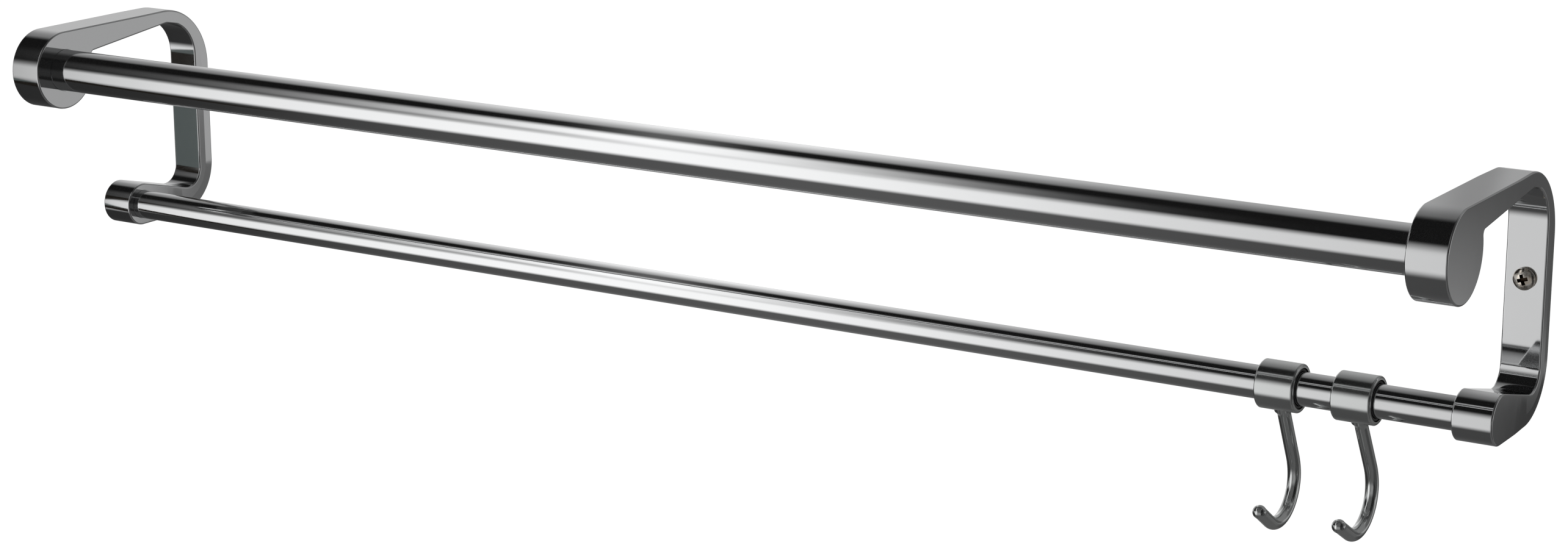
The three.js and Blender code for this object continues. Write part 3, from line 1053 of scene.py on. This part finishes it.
def lit_floor(left, height):
    """A floor that is dark under the panel and gets lighter towards the wall."""
    floor = 0.26 + left.hump(at=0.5, width=0.12) * 0.21
    floor *= 1 - left.rise(at=0.64, soft=0.04) * 0.55
    floor *= 0.21 + (1 - height.rise(at=-140, soft=50)) * 0.45
    return (1 - height.rise(at=-152, soft=8)).lerp(floor, 0.6)


def bright_half(left, height):
    """The left half of the room, with a bright panel in front that is cut off sharply at its ends."""
    above_eaves = height.rise(at=99 + left.rise(at=0.61, soft=0.02) * 9, soft=9)
    wall = back_wall(left, height, above_eaves)
    dark, skylight = ceiling(left, height, above_eaves)
    panel = 0.66 + left.hump(at=0.56, width=0.13) * 0.45
    panel *= 1 - left.rise(at=0.683, soft=0.03) * 0.38
    panel_top = 25 - left.rise(at=0.56, soft=0.06) * 6
    panel_bottom = -39.5 + left.rise(at=0.69, soft=0.015) * 10
    shade = height.rise(at=panel_top, soft=12).lerp(panel, wall + dark + skylight)
    shade *= 1 - height.hump(at=21, width=8) * 0.2
    return height.rise(at=panel_bottom, soft=11).lerp(lit_floor(left, height), shade)


def dim_half(right, height):
    """The right half of the room: dim, with grey light on its floor and a shaded far wall."""
    dim = height.between(low=-38, high=4, soft=10).lerp(0.1, 0.28)
    dim = height.rise(at=62, soft=14).lerp(dim, 0.035)
    dim = height.rise(at=112, soft=20).lerp(dim, 0.2)
    end_shade = 0.45 + height.between(low=-60, high=70, soft=8) * 0.45
    dim *= 1 - right.rise(at=0.65, soft=0.03) * end_shade
    far = 0.083 + right.rise(at=0.322, soft=0.01) * height.rise(at=-165.8, soft=1.5) * 0.14
    far += height.hump(at=-163.9, width=0.6) * 0.08
    far *= 1 - height.rise(at=-163.4, soft=0.6) * 0.45
    beyond = height.rise(at=-165.6, soft=0.4) * (1 - right.rise(at=0.667, soft=0.005))
    far = right.rise(at=0.45, soft=0.05).lerp(far, 0.39 - beyond * 0.26)
    return (1 - height.rise(at=-146, soft=8)).lerp(dim, far)


def studio_world():
    """A pale studio: the chrome sees a room, the eye plain white, and all else an even light."""
    world = bpy.data.worlds.new("studio")
    world.use_nodes = True
    bpy.context.scene.world = world
    sheet = Sheet(world.node_tree)
    right, back, up = sheet.split(sheet.add("ShaderNodeTexCoord", output="Generated"))
    left = -right
    height = up.math("ARCTAN2", -back) * (180 / math.pi)
    room = left.rise(at=0.24, soft=0.05).lerp(dim_half(right, height), bright_half(left, height))

    rays = sheet.outputs("ShaderNodeLightPath")
    even, white = 0.85, 1.0
    strength = rays["Is Glossy Ray"].lerp(even, room)
    strength = (rays["Is Camera Ray"] + rays["Is Transmission Ray"]).lerp(strength, white)
    background = sheet.add("ShaderNodeBackground", None, {"Color": grey(1.0), "Strength": strength})
    sheet.add("ShaderNodeOutputWorld", None, {"Surface": background})


def pale_floor():
    """A wide pale floor under the bar: white to the eye, it keeps the shadow that falls on it."""
    size, drop = FLOOR_HALF_SIZE, FLOOR_DROP
    corners = [(-size, -size, -drop), (size, -size, -drop), (size, size, -drop), (-size, size, -drop)]
    floor = mesh_object("floor", corners, [(0, 1, 2, 3)])
    material, sheet = finish_sheet("pale_floor")
    lit = sheet.add("ShaderNodeBsdfDiffuse", None, {"Color": grey(0.5)})
    glow = sheet.add("ShaderNodeEmission", None, {"Color": grey(0.62), "Strength": 1.0})
    both = sheet.add("ShaderNodeAddShader", None, {0: lit, 1: glow})
    clear = sheet.add("ShaderNodeBsdfTransparent")
    glossy = sheet.add("ShaderNodeLightPath", output="Is Glossy Ray")
    mixed = sheet.add("ShaderNodeMixShader", None, {0: glossy, 1: both, 2: clear})
    sheet.add("ShaderNodeOutputMaterial", None, {"Surface": mixed})
    floor.data.materials.append(material)


def dark_flag():
    """A dark card, grey in one part, that only the left bracket's wall part mirrors."""
    facing = Vector(FLAG_FACING).normalized()
    across = facing.cross(Vector((0, 0, 1))).normalized() * (FLAG_WIDTH / 2)
    along = across.cross(facing).normalized() * (FLAG_HEIGHT / 2)
    middle = Vector(FLAG_PLACE)
    corners = [middle + across * a + along * b for a, b in ((-1, -1), (1, -1), (1, 1), (-1, 1))]
    flag = mesh_object("flag", corners, [(0, 1, 2, 3)])
    material, sheet = finish_sheet("flag")
    upwards = sheet.split(sheet.add("ShaderNodeTexCoord", output="Object"))[2]
    grey_part = upwards.between(*FLAG_GREY_PART, soft=0.012)
    tone = grey_part.blend(rgba(0.012, 0.01, 0.008), rgba(0.085, 0.1, 0.098))
    shader = sheet.add("ShaderNodeEmission", None, {"Color": tone, "Strength": 1.0})
    sheet.add("ShaderNodeOutputMaterial", None, {"Surface": shader})
    flag.data.materials.append(material)
    flag.visible_camera = False
    flag.visible_diffuse = False
    flag.visible_shadow = False


def soft_lamp(name, place, power, size):
    data = bpy.data.lights.new(name, "AREA")
    data.energy = power
    data.size = size
    lamp = linked(name, data)
    lamp.location = place
    lamp.rotation_mode = "QUATERNION"
    lamp.rotation_quaternion = (-Vector(place)).to_track_quat("-Z", "Y")
    lamp.visible_glossy = False
    lamp.visible_camera = False


def camera():
    data = bpy.data.cameras.new("camera")
    data.sensor_width = CAMERA_SENSOR
    data.lens = CAMERA_LENS
    made = linked("camera", data)
    made.location = CAMERA_PLACE
    made.rotation_euler = (math.radians(90 - CAMERA_DOWN), 0, math.radians(CAMERA_TURN))
    bpy.context.scene.camera = made


def build():
    camera()
    studio_world()
    pale_floor()
    soft_lamp("key", place=(0.6, -1.6, 1.9), power=30, size=1.4)
    soft_lamp("fill", place=(-1.4, -1.0, 1.2), power=14, size=1.6)
    dark_flag()
    rods, threads = rod_tree(), thread_tree()
    for side, sign in (("left", -1), ("right", 1)):
        bracket(side, sign)
        wall_screw(side, sign, threads)
        for level, axis, boss, radius in (
            ("upper", UPPER_AXIS, UPPER_BOSS_RADIUS, UPPER_BAR_RADIUS),
            ("lower", LOWER_AXIS, LOWER_BOSS_RADIUS, LOWER_BAR_RADIUS),
        ):
            set_screw(level, side, sign, axis, boss, radius, threads)
    bar("upper_bar_tube", UPPER_BAR_RADIUS, UPPER_AXIS, "upper_bar")
    bar("lower_bar_tube", LOWER_BAR_RADIUS, LOWER_AXIS, "lower_bar")
    for letter in "ab":
        low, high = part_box(f"hook_liner_{letter}")
        place = ((low[0] + high[0]) / 2 / MM, *LOWER_AXIS)
        hook(letter, place, rods)
        liner(letter, place)
    bpy.context.scene.view_settings.view_transform = "Standard"


build()
